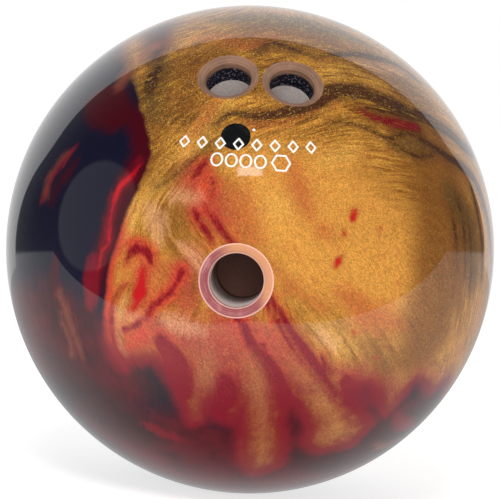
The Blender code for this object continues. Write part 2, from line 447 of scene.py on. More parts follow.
print("building the cover")
coverMask = ~inHole & ~inPin
coverLevel = np.where(inMark > 0, -marks["groove"], 0.0)
top, walls, rim = steppedSkin(skinPoints, skinFaces[coverMask], coverLevel[coverMask])
polygons = [top, walls]
innerSphere = ball["radius"] - ball["cover"]
innerLoops = []
for hole in holes:
    rows, low = bevelProfile(hole)
    inside = math.sqrt(innerSphere ** 2 - hole["radius"] ** 2)
    rows += [(hole["radius"], low - (low - inside) * part) for part in (0.25, 0.5, 0.75)]
    edge = pickRim(rim, hole, hole["rim"])
    quads, last = sweep(edge, profileRings(hole, rows) + [toSphere(hole, hole["radius"], innerSphere)])
    polygons += quads
    innerLoops.append(last[np.argsort(turnsOf(last[:, 0], hole))][:, 0])
edge = pickRim(rim, pinHole, pin["radius"])
quads, last = sweep(edge, [toSphere(pinHole, pin["radius"], innerSphere)])
polygons += quads
innerLoops.append(last[np.argsort(turnsOf(last[:, 0], pinHole))][:, 0])


def clearOfBores(points, faces, radius):
    # Keeps the triangles outside every bore, at the given radius.
    middle = unit(points[faces].mean(axis=1)) * radius
    keep = np.ones(len(faces), bool)
    for hole in bores:
        distance, height = axisParts(middle, hole)
        keep &= ~((distance < hole["radius"]) & (height > 0))
    return faces[keep]


points, faces = triangulate(scatter(ball["innerSpacing"], 0, ball["innerEnd"]), innerLoops, innerSphere)
faces = clearOfBores(points, faces, innerSphere)
polygons.append((points[faces] * innerSphere)[:, ::-1])
cover = meshFrom("pearl_cover", polygons)
roundNormals(cover.data, ball["radius"])

print("building the filler core")
coreSphere = innerSphere - ball["gap"]
coreLoops = [ringOnSphere(hole, hole["radius"], coreSphere, circle) for hole in bores]
points, faces = triangulate(scatter(ball["coreSpacing"], 0, ball["innerEnd"]), coreLoops, coreSphere)
faces = clearOfBores(points, faces, coreSphere)
rim = points[openEdges(faces)] * coreSphere
polygons = [points[faces] * coreSphere]


def closeFlat(last, centre):
    return np.stack([last[:, 1], last[:, 0], np.broadcast_to(centre, last[:, 0].shape)], axis=1)


# A drilled hole ends in a shallow cone, as a drill's tip leaves it.
tipMiddle, tipEnd = 1.6, 3.2
for hole in holes:
    edge = pickRim(rim, hole, hole["radius"])
    begin = axisParts(edge.mean(axis=1), hole)[1].min()
    rows = [(hole["radius"], begin + (hole["floor"] - begin) * part) for part in np.linspace(0.08, 1, 12)]
    rows.append((hole["radius"] * 0.5, hole["floor"] - tipMiddle))
    quads, last = sweep(edge, profileRings(hole, rows))
    polygons += quads
    polygons.append(closeFlat(last, hole["start"] + hole["frame"][2] * (hole["floor"] - tipEnd)))


def blockProfile(grow):
    # The weight block's neck, shoulder and round bulb, from its top to its foot, grown by grow.
    neck, bulb, centre = weight["neckRadius"] + grow, weight["bulbRadius"] + grow, weight["bulbCentre"]
    rows = [(weight["topRadius"] + grow, weight["top"] + grow), (neck, weight["neckTop"] + grow)]
    low = math.asin((weight["foot"] - grow - centre) / bulb)
    turns = np.linspace(math.radians(weight["shoulder"]), low, 16)
    arc = [(bulb * math.cos(t), centre + bulb * math.sin(t)) for t in turns]
    for part in (1.0, 0.7, 0.35):
        ease = 1 - (1 - part) ** 2
        rows.append((arc[0][0] + (neck - arc[0][0]) * ease,
                     arc[0][1] + (weight["neckFoot"] - arc[0][1]) * part))
    return rows + arc


edge = pickRim(rim, pinHole, pin["radius"])
cavity = [(pin["radius"], pin["boreStep"]), (pin["radius"], pin["foot"])] + blockProfile(ball["gap"])
quads, last = sweep(edge, profileRings(pinHole, cavity))
polygons += quads
polygons.append(closeFlat(last, pinFrame[2] * (weight["foot"] - ball["gap"])))
core = meshFrom("white_filler_core", polygons, 30.0)

print("building the locator pin")
top, walls, rim = steppedSkin(skinPoints, skinFaces[inPin], coverLevel[inPin])
slim = pin["radius"] - pin["play"]
quads, last = sweep(rim, profileRings(pinHole, [(slim, height) for height in (*pin["steps"], pin["foot"])]))
locator = meshFrom("locator_pin_plug", [top, walls] + quads + [closeFlat(last, pinFrame[2] * pin["foot"])])
roundNormals(locator.data, ball["radius"])

print("building the paint")
paints = []
bottom = ball["radius"] - marks["groove"] + marks["floorGap"]
for number, mark in enumerate(engraved + [dot], start=1):
    name = mark["name"]
    chosen = skinFaces[inMark == number]
    level = np.full(len(chosen), -marks["recess"])
    top, _, rim = steppedSkin(skinPoints, chosen, level)
    floor = (skinPoints[chosen] * bottom)[:, ::-1]
    lower = unit(rim) * bottom
    sides = np.stack([rim[:, 1], rim[:, 0], lower[:, 0], lower[:, 1]], axis=1)
    paint = meshFrom(f"{name}_paint", [top, sides, floor], 40.0)
    paints.append((paint, name))


# Each stroke is (half width at its start, middle and end, in degrees) and the places it runs through.
strokes = {
    "umber": [
        ((.4, 2.0, 1.6), [(-4, 34), (1.5, 34.5), (6, 35.5), (10, 37), (14, 38.5), (18, 40.5), (21.5, 43),
                          (27.5, 44), (33, 44), (38, 43), (47, 41)]),
        ((.2, .6, .2), [(-3.5, 52), (-1.5, 55), (1.5, 58), (5, 58), (11, 56.5), (17, 55), (21, 53.5)]),
        ((.5, 1.9, .2), [(33, 39.5), (40, 39.5), (47, 39), (55, 38.5), (61, 36.5), (66, 35), (74, 31),
                         (84, 30), (96, 34)]),
        ((.5, 1.5, .1), [(49, 32.5), (53, 31), (59, 28.5), (66, 26), (72, 23), (76, 16), (79, 6), (84, -4),
                         (92, -12)]),
        ((.2, .5, .3), [(20.5, 34.5), (24.5, 35), (28.5, 34.5), (32.5, 33.5), (37.5, 32), (44, 33.5),
                        (51, 32.5)]),
        ((.2, .4, .2), [(37.5, 31), (42, 29), (48, 28), (53, 29)]),
        ((.1, .26, .1), [(-21, 14.5), (-17, 18), (-13, 22), (-10.5, 25)]),
        ((.1, .22, .1), [(-19.5, 15.5), (-16, 19.5), (-12, 23.5), (-10, 26)]),
        ((.2, .7, .3), [(67.5, 24), (68.5, 16), (70, 8), (70.5, 0)]),
        ((.1, .25, .1), [(55, 17), (56, 10), (57, 3)]),
        ((.1, .3, .1), [(58.5, 19), (60, 10), (60.5, 1)]),
        ((.1, .3, .1), [(62.5, 14), (63, 6), (64, -3)]),
        ((.1, .5, .3), [(-10, 31), (-7, 34), (-2, 35)]),
        ((.2, 1.1, .6), [(21, 55), (29, 56), (40, 57), (51, 56.5), (61, 55.5), (66, 53), (70, 49)]),
        ((.8, 1.7, .6), [(-35, 45), (-34, 41), (-32, 37.5)]),
    ],
    "crimson": [
        ((.3, .9, .3), [(-48, 22), (-51, 17), (-53.5, 13.5), (-54, 10.5), (-55, 8)]),
        ((.6, 1.2, .8), [(-26.5, 20.5), (-28, 16.5), (-30, 12.5), (-31, 7), (-31, 1.5), (-32.5, -3),
                         (-34, -8)]),
        ((.3, .8, .3), [(-10, 22.5), (-11.5, 19.5), (-12.5, 18)]),
        ((.1, .35, .1), [(-8, 18.5), (-7.5, 16), (-8, 13.5)]),
        ((.3, .7, .3), [(-11, 11), (-9, 8), (-7, 6), (-6, 4)]),
        ((.3, .8, .6), [(-9, 12.5), (-5.5, 8.5), (-2, 5), (-0.5, 2.5)]),
        ((.4, 1.2, .9), [(29.5, 38.5), (35, 37), (39.5, 36.5), (44.5, 36), (50, 35.5)]),
        ((.5, 1.1, .8), [(7.5, -6), (10.5, -9.5), (13, -13), (19, -19), (24.5, -24.5), (29.5, -28.5)]),
        ((.3, .5, .5), [(6.5, -7), (9.5, -11), (12.5, -14.5), (17.5, -20.5), (23.5, -26), (28.5, -30)]),
        ((.4, 1.5, 1.7), [(1, -11.5), (2.5, -13), (5, -17), (9, -21.5), (12.5, -26), (16.5, -31)]),
        ((.3, .7, .2), [(21.5, -18.5), (23, -20.5), (26, -23)]),
        ((.2, .45, .4), [(7.5, -17), (9.5, -23.5), (11.5, -30), (12.5, -36.5)]),
        ((.1, .3, .2), [(5, -18.5), (8.5, -25.5), (10, -32.5), (11.5, -40)]),
        ((1.2, 2.9, 2.2), [(-16.5, -18.5), (-13.5, -22.5), (-12, -26.5), (-10.5, -31)]),
        ((1.9, 3.2, 2.2), [(-1, -27), (-1, -30), (-2, -35)]),
        ((1.4, 2.6, 1.4), [(29.5, -24.5), (34.5, -28.5), (40, -30)]),
        ((.3, .55, .5), [(-12, -2.5), (-13, -5.5), (-15, -8.5), (-18, -11), (-19.5, -13.5), (-22.5, -16),
                         (-25.5, -17.5)]),
        ((.2, .45, .3), [(-25, -7), (-27.5, -10), (-29, -14), (-29, -18.5), (-28.5, -23), (-27, -25)]),
        ((.3, .9, .4), [(-25.5, -2.5), (-24.5, 0), (-23, 1), (-20.5, 0.5), (-19.5, -1.5)]),
        ((.6, 1.8, .6), [(-25, -42.5), (-19, -45), (-13, -46.5)]),
        ((1, 2.4, 1), [(-34, -2), (-34.5, -7.5), (-35, -13)]),
        ((.5, 2.2, .5), [(52, -33), (60, -37), (70, -38)]),
    ],
    "ember": [
        ((.8, 1.3, .9), [(-27, 4), (-29, -2), (-30, -8), (-30.5, -13.5), (-30, -19.5), (-28.5, -24)]),
        ((.6, 1.6, 1.2), [(-20, -15), (-21, -18), (-23, -20), (-25, -22)]),
        ((.9, 1.9, 1.0), [(-21, -2.5), (-21.5, -8.5), (-23.5, -13)]),
        ((.8, 1.3, .8), [(-11.5, -1.5), (-14, -7), (-18, -11.5), (-21.5, -15.5)]),
        ((.8, 1.6, .8), [(-26, 2), (-23, 2), (-20, 0)]),
        ((.5, 1.0, .5), [(-9.5, 21), (-10, 15), (-8, 10)]),
    ],
    "scarlet": [
        ((.2, .6, .3), [(-26.5, 19.5), (-27.5, 17), (-30, 14), (-30.5, 11.5), (-31, 8)]),
        ((.1, .3, .1), [(-31, 7), (-30.5, 1.5), (-32, -1), (-33, -6)]),
        ((.4, .7, .9), [(-21, -3), (-21, -5.5), (-21.5, -7.5)]),
        ((1.0, 1.5, .8), [(-21, -8), (-21.5, -8.5), (-22.5, -9.5)]),
        ((.6, .4, .1), [(-22, -10), (-22.5, -11.5), (-23.5, -13)]),
        ((.3, .8, .2), [(25.5, 14.5), (25, 13), (25, 12)]),
        ((.1, .4, .1), [(23, 10), (23, 9.5), (23, 8.5)]),
        ((.1, .25, .1), [(32, 11.5), (32, 11), (32, 10)]),
        ((.3, .75, .2), [(22.5, 4), (22, 3), (21.5, 1.5)]),
        ((.1, .3, .1), [(28, -12), (28, -12.5), (28.5, -13)]),
        ((.1, .3, .1), [(35.5, -17.5), (35.5, -18), (36, -18.5)]),
    ],
    "maroon": [
        ((2.2, 3.0, 2.2), [(-46, 36), (-38, 32), (-31.5, 29.5), (-28, 25.5), (-26.5, 21.5), (-27, 18),
                           (-28, 14), (-29, 9.5), (-30, 5), (-31, 0.5), (-32, -4), (-33, -9)]),
        ((3, 5.5, 3), [(-51, 34), (-44, 32.5), (-38, 29.5)]),
        ((1, 3.2, .8), [(16, -27), (16.5, -34), (17, -42)]),
        ((1, 2.2, 1), [(-33, -3), (-34, -8), (-36, -15)]),
        ((.3, .9, .3), [(-45.5, 18), (-49, 13), (-50.5, 8)]),
        ((.5, 1.6, .6), [(-46, -4), (-47, -9), (-46, -14)]),
    ],
    "tan": [
        ((.8, 2.2, 2.2), [(-44.5, 38), (-46, 43), (-46.5, 51)]),
        ((.1, .3, .7), [(-50, 20), (-52.5, 16.5), (-54.5, 13), (-54, 10)]),
        ((1.0, 2.0, .8), [(-10.5, -13.5), (-7, -16.5), (-5, -20), (-5, -25), (-6, -30.5), (-8, -37.5)]),
        ((1.6, 2.3, 2.6), [(5, -20), (7.5, -26.5), (10, -36), (11.5, -42)]),
        ((2.6, 3.9, 2.2), [(11.5, -43), (12.5, -48), (14, -53)]),
        ((1.2, 1.9, 2.6), [(15, -20), (20, -25.5), (25.5, -31), (31, -36.5)]),
        ((2.2, 4.0, 1.6), [(29, -38), (34, -39.5), (38.5, -39)]),
        ((.1, .3, .1), [(-45.5, -16), (-44.5, -20.5), (-43.5, -24), (-44.5, -27)]),
        ((.3, .6, .3), [(-45, -12), (-42, -18), (-40, -26)]),
        ((1, 2.2, 1.2), [(43, -22), (46, -26.5), (48, -30)]),
        ((.2, .8, .2), [(55, -44), (62, -45), (70, -43)]),
    ],
    "pale": [
        ((1.2, 2.4, 1.2), [(-21.5, 10.5), (-19.5, 7.5), (-17.5, 4)]),
        ((.6, 1.8, 1.0), [(-17, -13), (-12, -14.5), (-7, -15.5)]),
        ((.3, .9, .4), [(-24.5, -10), (-27, -13.5), (-28, -18), (-27.5, -21.5), (-25.5, -24)]),
        ((.4, .9, .4), [(-19.5, -12.5), (-22, -14), (-25, -15.5)]),
        ((1, 1.5, 1), [(-16.5, 13), (-13, 13.5), (-9.5, 13)]),
        ((.8, 1.5, 1.2), [(35, 57), (41, 54), (51, 53), (62, 52)]),
        ((.6, 1.2, .6), [(19.5, -12.5), (22, -14.5), (24, -16)]),
        ((.8, 1.6, .8), [(-13, 3), (-10, 1), (-8.5, -1.5)]),
    ],
    # The glow strokes are partly painted highlight, pale gold where the pearl catches the light, and partly
    # paler gold in the swirl.
    "glow": [
        ((1.5, 2.6, 1.6), [(-16, 22), (-12.5, 31), (-8, 40)]),
        ((1, 1.9, .8), [(20.5, 46.5), (24, 48), (28, 49)]),
        ((.2, .4, .2), [(30.5, 52), (37, 49.5), (44, 46)]),
        ((.8, 1.6, .8), [(18, 25), (22, 26.5), (26, 28)]),
        ((1.2, 2.2, 1), [(4, 12.5), (8, 14), (11, 16)]),
        ((.8, 1.6, .8), [(20, -11), (24, -14), (28, -17)]),
        ((.2, .7, .3), [(-9, 38.5), (-11, 34), (-12, 30), (-14, 26.5)]),
        ((.6, 1.5, 1.2), [(-19.5, 16.5), (-22.5, 12.5), (-24, 8), (-25.5, 3.5)]),
        ((.5, 1.5, .6), [(-22, -2), (-19.5, -4.5), (-16.5, -6), (-14, -4.5)]),
    ],
    "rust": [
        ((.6, 1.3, .7), [(-10.5, 40), (-12.5, 34), (-14, 30), (-16, 26)]),
        ((.5, 1.2, .6), [(-2, 31.5), (5, 33.5), (12, 36.5), (19.5, 40)]),
        ((.3, .9, .4), [(7.5, 1), (11.5, -3), (16, -5.5), (20, -7.5)]),
        ((3, 5.5, 3), [(0, -11), (0, -18), (0.5, -25)]),
        ((1, 2.2, 1), [(-26, -18), (-23, -19), (-19.5, -19.5)]),
        ((2, 4.5, 2.5), [(-7, 17), (-2, 12), (2, 7)]),
        ((2.5, 4.2, 2.5), [(-21, -2), (-15.5, -5), (-11, -10)]),
        ((.8, 1.4, .8), [(17, 10), (18.5, 9), (20, 8.5)]),
        ((1.5, 3.0, 1), [(24, -4), (31, -8), (40, -10)]),
        ((1, 2.6, 1), [(10, 24), (12, 18), (15, 12)]),
        ((.4, 1.2, .6), [(-30, 56), (-18, 58), (-6, 56), (4, 62)]),
    ],
    "olive": [
        ((2.0, 3.6, 2.0), [(-35, 45.5), (-33.5, 41), (-31, 36), (-27, 32)]),
        # Painted shade: this olive band darkens the top of the ball, standing in for a darker reflection
        # there.
        ((1, 4.5, 1), [(-34, 66), (-14, 70), (10, 71), (36, 68), (60, 60)]),
        ((1.5, 2.6, 1.2), [(39, 31), (45, 31), (51, 30.5)]),
        ((.8, 2.2, .8), [(-2, 48), (2, 44), (6, 40)]),
        ((2, 4, 2), [(55, 20), (63, 12), (66, 0)]),
    ],
    "calm": [
        ((9, 15, 9), [(6, 19), (20, 10), (36, 0)]),
    ],
    # The shade strokes are partly painted shade: they darken the gold down the right side and across the top
    # of the ball, where shade falls; those on the left darken the gold by the dark border.
    "shade": [
        ((7, 10, 7), [(53, 38), (52, 12), (49, -16)]),
        ((2.5, 4.5, 3), [(-14, 58), (4, 58), (20, 58)]),
        ((4, 7, 5), [(30, 58), (48, 52), (62, 44)]),
        ((1.5, 2.6, 1.5), [(32, -14.5), (37, -17.5), (42, -22), (44, -25)]),
        ((1, 1.8, 1), [(-17, 10), (-15, 8), (-13.5, 5)]),
        ((3, 5, 3), [(-28, 48), (-22, 43), (-20, 37)]),
        ((2.5, 5, 3), [(-31, 34), (-27, 27), (-24, 19)]),
        ((3, 5, 3), [(-26, 40), (-20, 35), (-14, 31)]),
        ((3, 7, 4), [(-16, 62), (8, 66), (34, 62)]),
        ((2, 5, 3), [(-34, 34), (-28, 44), (-16, 52)]),
    ],
    "blush": [
        ((4, 6, 5), [(-12, -24), (-2, -27), (8, -28)]),
        ((2, 3.4, 2), [(-14, 20), (-10, 14), (-5, 9)]),
        ((2, 3.6, 3), [(3, -12), (10, -18), (18, -26)]),
        ((3, 5, 4), [(-17, -16), (-9, -17.5), (0, -20)]),
        ((1.5, 2.6, 1.5), [(-4, -12), (2, -15), (6, -21)]),
        ((1.5, 3, 2), [(28, -22), (36, -25), (44, -28)]),
        ((1.2, 2.2, 1.4), [(-10, 2), (-11, -4), (-9, -9)]),
    ],
    "soot": [
        ((3, 5, 4), [(-24, -23.5), (-20, -27.5), (-17, -33)]),
        ((5, 9, 6), [(-56, -30), (-44, -38), (-30, -46)]),
        ((6, 10, 8), [(30, -48), (50, -46), (68, -38)]),
    ],
    "wine": [
        ((12, 24, 14), [(-40, -46), (0, -60), (60, -52), (110, -34)]),
        ((8, 13, 10), [(-74, -24), (-48, -24), (-32, -30)]),
        ((5, 8, 6), [(-60, 52), (-52, 56), (-40, 58)]),
        ((8, 16, 8), [(-150, 20), (-130, 0), (-150, -25)]),
    ],
}

# The dark resin's border, and two dark islands, at the top left and at the back. All are closed loops.
darkBorders = [
    [(-56.5, 49), (-50, 46.5), (-45, 44), (-42, 41.5), (-39, 39.5), (-35, 36), (-33, 33.5), (-30.5, 31.5),
     (-26, 26), (-24, 22), (-24.5, 18), (-25, 14), (-26.5, 10), (-27.5, 5), (-28.5, 0.5), (-29.5, -3.5),
     (-30, -9), (-31, -14.5), (-31, -20.5), (-29.5, -24), (-27, -26.5), (-24, -24.5), (-19, -23),
     (-15.5, -25), (-13, -29.5), (-11, -35), (-9.5, -40), (-6.5, -38), (-4.5, -33), (-2, -37), (2, -38),
     (4.5, -34), (6, -42), (8, -52), (14, -58), (21, -52), (18.5, -43), (15.5, -36), (15, -30.5),
     (18.5, -30.5), (22, -34.5), (25.5, -38), (26.5, -43), (33, -46), (43, -43.5), (44, -37), (38, -33),
     (33.5, -30), (32.5, -26.5), (36.5, -24.5), (41, -28), (47.5, -32.5), (49.5, -28), (52, -23),
     (57, -24.5), (63.5, -27), (69, -24), (78, -29), (92, -24), (112, -32), (140, -18), (165, -34),
     (179, -20), (179, -89), (-179, -89), (-179, -12), (-160, 4), (-150, 24), (-118, 33), (-100, 36),
     (-88, 50), (-68, 52)],
    [(-69.5, 55), (-73, 59), (-71, 63), (-60.5, 64.5), (-43, 57.5), (-37.5, 52.5), (-36, 48), (-38.5, 46),
     (-41, 45.5), (-47, 49), (-55, 52)],
    [(150, 40), (170, 30), (178, 52), (160, 62), (140, 54)],
]

# Lines the fine streaks follow. Each runs so that the streak pattern grows to its left.
flowLines = [
    [(-40, 34), (-32, 40), (-22, 47), (-8, 57), (12, 62)],
    [(-26, 24), (-20, 31), (-15, 38), (-8, 46)],
    [(-24, 15), (-17, 20), (-10, 27), (-2, 34), (6, 35.5), (14, 38.5), (21.5, 43), (33, 44), (47, 41)],
    [(-4, 24), (8, 30), (20, 34.5), (28.5, 34.5), (37.5, 33), (50, 32), (60, 28), (70, 22), (76, 8),
     (78, -10)],
    [(20, 20), (34, 20), (48, 18), (57, 8), (60, -8), (58, -22)],
    [(60, 48), (40, 54), (20, 56), (4, 58)][::-1],
    [(-54, 8), (-51, 16), (-46, 24), (-38, 34)],
    [(-33, -9), (-31, 0), (-29, 8), (-25, 18), (-22, 26)],
    [(-27, -26), (-31, -20), (-31, -14), (-30, -9), (-27.5, 2)],
    [(-24, -16), (-20, -14), (-16, -9), (-11.5, -3)],
    [(-12, -28), (-13, -20), (-11, -12), (-8, -8)],
    [(-10, -42), (-6, -30), (-5.5, -20), (-3, -10)],
    [(6, -56), (7, -40), (6, -28), (2, -16), (1, -10)],
    [(17, -42), (15, -30), (9, -22), (4, -14)],
    [(34, -33), (25, -23), (16, -14), (9, -5)],
    [(50, -34), (40, -22), (28, -10), (14, 0)],
    [(64, -30), (52, -14), (38, -2), (22, 8)],
    [(-9, 12), (-5, 8.5), (0, 3)][::-1],
    [(-20, -4), (-18, 4), (-14, 12), (-8, 20)],
    [(-60, -40), (-58, -20), (-60, 0), (-62, 20), (-60, 40)],
    [(-90, -60), (-95, -20), (-92, 20), (-84, 50)],
    [(90, 50), (100, 20), (104, -20), (96, -60)],
    [(130, 50), (142, 10), (136, -30), (150, -60)],
    [(-130, -50), (-142, -10), (-136, 30), (-150, 60)],
    [(-40, -40), (-38, -26), (-40, -10), (-42, 8)],
    [(-30, -60), (-24, -44), (-20, -32)],
]


def curve(places, perDegree):
    # Catmull-Rom through the places, as unit vectors on the ball, about perDegree samples for each degree.
    knots = outward(*np.array(places, float).T)
    padded = np.vstack([2 * knots[0] - knots[1], knots, 2 * knots[-1] - knots[-2]])
    samples = []
    for k in range(1, len(padded) - 2):
        a, b, c, d = padded[k - 1:k + 3]
        span = math.degrees(math.acos(np.clip(b @ c, -1, 1)))
        t = np.linspace(0, 1, max(3, int(span * perDegree)), endpoint=False)[:, None]
        samples.append(0.5 * (2 * b + (c - a) * t + (2 * a - 5 * b + 4 * c - d) * t ** 2
                              + (3 * b - 3 * c + d - a) * t ** 3))
    samples.append(padded[-2:-1])
    return unit(np.vstack(samples))


def reachTo(points, samples):
    # Straight distance in millimetres from each point to each sample: root of 2 - 2 cos.
    return np.sqrt(np.maximum(2 - 2 * (points @ samples.T), 0)) * ball["radius"]


def strokeField(points, group):
    # Millimetres inside the nearest stroke's edge: half width there less the distance to its middle line.
    # Points too far from a stroke to feel it are left out and keep the outside value.
    outside, margin = -14.0, 8
    best = np.full(len(points), outside)
    for (start, middle, end), places in group:
        samples = curve(places, 2.5)
        t = np.linspace(0, 1, len(samples))
        width = (1 - t) ** 2 * start + 2 * t * (1 - t) * (2 * middle - (start + end) / 2) + t ** 2 * end
        centre = unit(samples.mean(axis=0))
        span = math.acos(min(1.0, (samples @ centre).min())) + math.radians(width.max() + margin)
        near = np.flatnonzero(points @ centre > math.cos(min(span, math.pi)))
        inside = width[None] * ball["radius"] * math.pi / 180 - reachTo(points[near], samples)
        best[near] = np.maximum(best[near], inside.max(axis=1))
    return best


def regionField(points, borders):
    # Signed distance to closed borders: even-odd count of border crossings along a parallel gives the sign.
    azimuth = np.degrees(np.arctan2(points[:, 0], -points[:, 1]))
    elevation = np.degrees(np.arcsin(np.clip(points[:, 2], -1, 1)))
    # Border pieces that run along the seam at 180 degrees only close a loop, so nothing is measured to them.
    outside, seam = -40.0, 178
    best = np.full(len(points), outside)
    for border in borders:
        distance = np.full(len(points), 1e9)
        inside = np.zeros(len(points), bool)
        for (a0, e0), (a1, e1) in zip(border, border[1:] + border[:1]):
            crosses = (e0 > elevation) != (e1 > elevation)
            inside ^= crosses & (azimuth < a0 + (a1 - a0) * (elevation - e0) / (e1 - e0 + 1e-12))
            if abs(a0) < seam or abs(a1) < seam:
                nearest = (points @ curve([(a0, e0), (a1, e1)], 5.0).T).max(axis=1)
                distance = np.minimum(distance, np.sqrt(np.maximum(2 - 2 * nearest, 0)) * ball["radius"])
        best = np.maximum(best, np.where(inside, distance, -distance))
    return best


def flowField(points):
    # A smooth potential fitted by least squares so that it is level along each flow line and grows by one
    # millimetre a millimetre across it. The basis is a spread of round bumps on the ball.
    centres, tight, damping = scatter(19.0, 0, 181), 22.0, 0.12

    def slope(at, way):
        near = at @ centres.T
        return tight * np.exp(tight * (near - 1)) * (way @ centres.T) / ball["radius"]

    rows, wanted = [], []
    for places in flowLines:
        samples = curve(places, 0.5)
        along = unit(np.gradient(samples, axis=0))
        across = np.cross(samples, along)
        rows += [slope(samples, along) * 2.0, slope(samples, across)]
        wanted += [np.zeros(len(samples)), np.ones(len(samples))]
    matrix, goal = np.vstack(rows), np.concatenate(wanted)
    damp = damping * np.eye(len(centres)) * np.abs(matrix).mean()
    weights = np.linalg.solve(matrix.T @ matrix + damp, matrix.T @ goal)
    return np.exp(tight * (points @ centres.T - 1)) @ weights


print("laying the swirl")
skin = coordinates(cover.data)
facing = unit(skin)
for name, group in strokes.items():
    addField(cover.data, name, strokeField(facing, group))
addField(cover.data, "dark", regionField(facing, darkBorders))
addField(cover.data, "flow", flowField(facing))

vertex, starts, totals = faceCorners(cover.data)
faceMiddle = np.add.reduceat(skin[vertex], starts) / totals[:, None]
depthOf = ball["radius"] - np.linalg.norm(faceMiddle, axis=1)
cutFace = np.zeros(len(starts))
axisDistance, holeDepth = np.full(len(skin), 30.0), np.zeros(len(skin))
thumbShare = np.zeros(len(skin))
for hole in holes:
    reach, height = axisParts(faceMiddle, hole)
    cutFace[(reach < hole["rim"]) & (height > 0) & (depthOf > 0.03)] = 1.0
    reach, height = axisParts(skin, hole)
    near = (reach < hole["rim"] + 4) & (height > 0)
    axisDistance[near] = reach[near]
    holeDepth[near] = (math.sqrt(ball["radius"] ** 2 - hole["rim"] ** 2) - height)[near]
    thumbShare[near] = 1.0 if hole["name"] == "thumb" else 0.0
addField(cover.data, "cut", cutFace, "FACE")
addField(cover.data, "axisDistance", axisDistance)
addField(cover.data, "holeDepth", holeDepth)
addField(cover.data, "thumbShare", thumbShare)


class Field:
    # Wraps a node socket so that shader maths can be written as ordinary sums.
    def __init__(self, graph, socket):
        self.graph, self.socket = graph, socket

    def math(self, operation, *others):
        return self.graph.add("ShaderNodeMath", {"operation": operation}, dict(enumerate((self,) + others)))

    def reflected(self, operation, other):
        return self.graph.add("ShaderNodeMath", {"operation": operation}, {0: other, 1: self})

    def __add__(self, other):
        return self.math("ADD", other)

    def __radd__(self, other):
        return self.reflected("ADD", other)

    def __sub__(self, other):
        return self.math("SUBTRACT", other)

    def __rsub__(self, other):
        return self.reflected("SUBTRACT", other)

    def __mul__(self, other):
        return self.math("MULTIPLY", other)

    def __rmul__(self, other):
        return self.reflected("MULTIPLY", other)

    def __truediv__(self, other):
        return self.math("DIVIDE", other)

    def __rtruediv__(self, other):
        return self.reflected("DIVIDE", other)

    def __neg__(self):
        return self.math("MULTIPLY", -1.0)


class Graph:
    # Builds one node tree. add() makes a node: its settings, then its input values or links.
    def __init__(self, tree):
        self.tree = tree
        tree.nodes.clear()

    def add(self, kind, settings, inputs, output=0):
        node = self.tree.nodes.new(kind)
        for key, value in settings.items():
            setattr(node, key, value)
        for key, value in inputs.items():
            if isinstance(value, Field):
                self.tree.links.new(value.socket, node.inputs[key])
            else:
                node.inputs[key].default_value = value
        return Field(self, node.outputs[output]) if node.outputs else None

    def attribute(self, name):
        return self.add("ShaderNodeAttribute", {"attribute_name": name}, {}, "Fac")

    def place(self):
        return self.add("ShaderNodeTexCoord", {}, {}, "Object")

    def placeInMillimetres(self):
        return self.add("ShaderNodeVectorMath", {"operation": "SCALE"},
                        {0: self.place(), "Scale": 1 / metres})

    def noise(self, where, scale, detail, rough, distortion=0.0):
        return self.add("ShaderNodeTexNoise", {"noise_dimensions": "3D"},
                        {"Vector": where, "Scale": scale, "Detail": detail, "Roughness": rough,
                         "Distortion": distortion}, "Fac")

    def cells(self, where, scale):
        # A random colour for each cell.
        return self.add("ShaderNodeTexVoronoi", {"feature": "F1"}, {"Vector": where, "Scale": scale}, "Color")

    def ramp(self, value, low, high, outLow=0.0, outHigh=1.0):
        # A smooth step between two values.
        return self.add("ShaderNodeMapRange", {"interpolation_type": "SMOOTHSTEP"},
                        {"Value": value, "From Min": low, "From Max": high, "To Min": outLow,
                         "To Max": outHigh})

    def bump(self, strength, distance, height):
        return self.add("ShaderNodeBump", {}, {"Strength": strength, "Distance": distance, "Height": height})

    def mix(self, factor, first, second, blend="MIX"):
        # Inputs 6 and 7 and output 2 are the node's colour sockets.
        return self.add("ShaderNodeMix", {"data_type": "RGBA", "blend_type": blend, "clamp_factor": True},
                        {0: factor, 6: first, 7: second}, 2)

    def vector(self, x, y, z):
        return self.add("ShaderNodeCombineXYZ", {}, {0: x, 1: y, 2: z})

    def vectorMath(self, operation, first, second, output=0):
        return self.add("ShaderNodeVectorMath", {"operation": operation}, {0: first, 1: second}, output)

    def split(self, vector):
        first = self.add("ShaderNodeSeparateXYZ", {}, {0: vector})
        return [Field(self, socket) for socket in first.socket.node.outputs]


def tone(red, green, blue):
    # A screen colour, 0 to 255, as a linear shader colour.
    parts = [c / 255 for c in (red, green, blue)]
    return tuple(c / 12.92 if c <= 0.04045 else ((c + 0.055) / 1.055) ** 2.4 for c in parts) + (1.0,)


def newMaterial(name):
    material = bpy.data.materials.new(name)
    material.use_nodes = True
    return material, Graph(material.node_tree)


def finishMaterial(graph, inputs):
    shader = graph.add("ShaderNodeBsdfPrincipled", {}, inputs)
    graph.add("ShaderNodeOutputMaterial", {}, {"Surface": shader})


